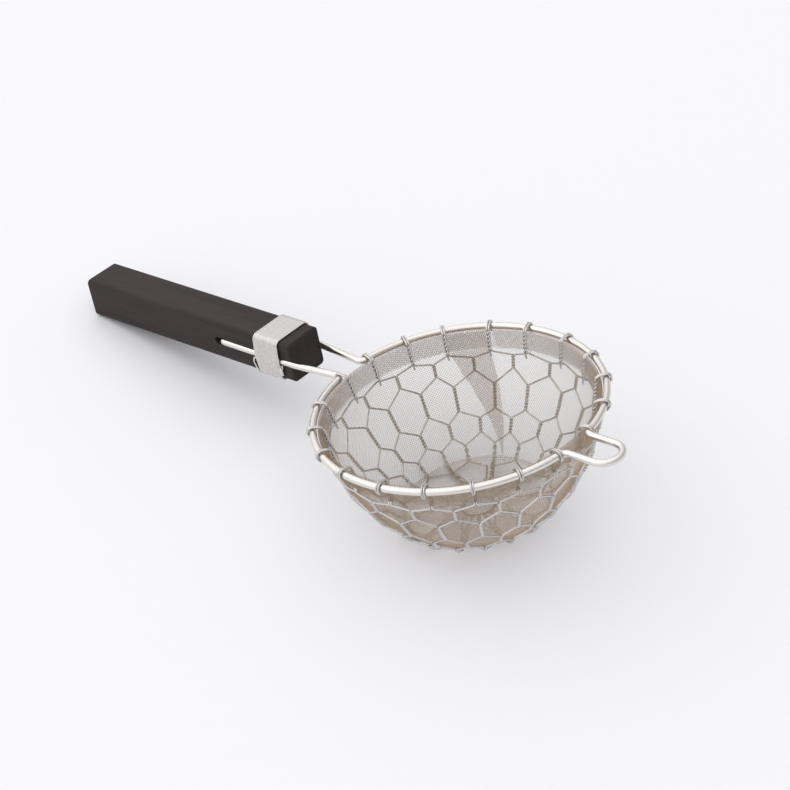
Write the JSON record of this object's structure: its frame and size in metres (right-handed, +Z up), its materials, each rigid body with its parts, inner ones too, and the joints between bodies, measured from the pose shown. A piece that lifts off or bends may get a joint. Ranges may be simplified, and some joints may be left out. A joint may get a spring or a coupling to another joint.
{
  "type": "tea strainer",
  "caption": "Tea strainer: fine woven mesh bowl in a hand-twisted hexagon wire net, wire rim with cup hook, dark square wooden handle.",
  "frame": {"origin": "centre of the box's base, on the table that the strainer lies on", "axes": "+X from the handle towards the cup hook, +Z up, +Y across; the rim plane is tilted 12.4 degrees about Y, hook end up"},
  "size_m": [0.1741, 0.0734, 0.0442],
  "materials": {
    "handle_wood": "dark, close-grained, satin oil finish",
    "frame_steel": "drawn wire, satin",
    "net_steel": "fine drawn wire, bright",
    "mesh_steel": "fine woven mesh, matt overall"
  },
  "bodies": {
    "root": {"handle": "handle_wood", "frame_wire": "frame_steel", "binding_wire": "net_steel", "mesh_wall": "mesh_steel", "mesh_hem": "mesh_steel", "mesh_bottom": "mesh_steel", "net_ring": "net_steel", "net_wire_01": "net_steel", "net_wire_02": "net_steel", "net_wire_03": "net_steel", "net_wire_04": "net_steel", "net_wire_05": "net_steel", "net_wire_06": "net_steel", "net_wire_07": "net_steel", "net_wire_08": "net_steel", "net_wire_09": "net_steel", "net_wire_10": "net_steel", "net_wire_11": "net_steel", "net_wire_12": "net_steel", "net_wire_13": "net_steel", "net_wire_14": "net_steel", "net_wire_15": "net_steel", "net_wire_16": "net_steel", "net_wire_17": "net_steel", "net_wire_18": "net_steel", "net_wire_19": "net_steel", "net_wire_20": "net_steel"}
  },
  "joints": []
}
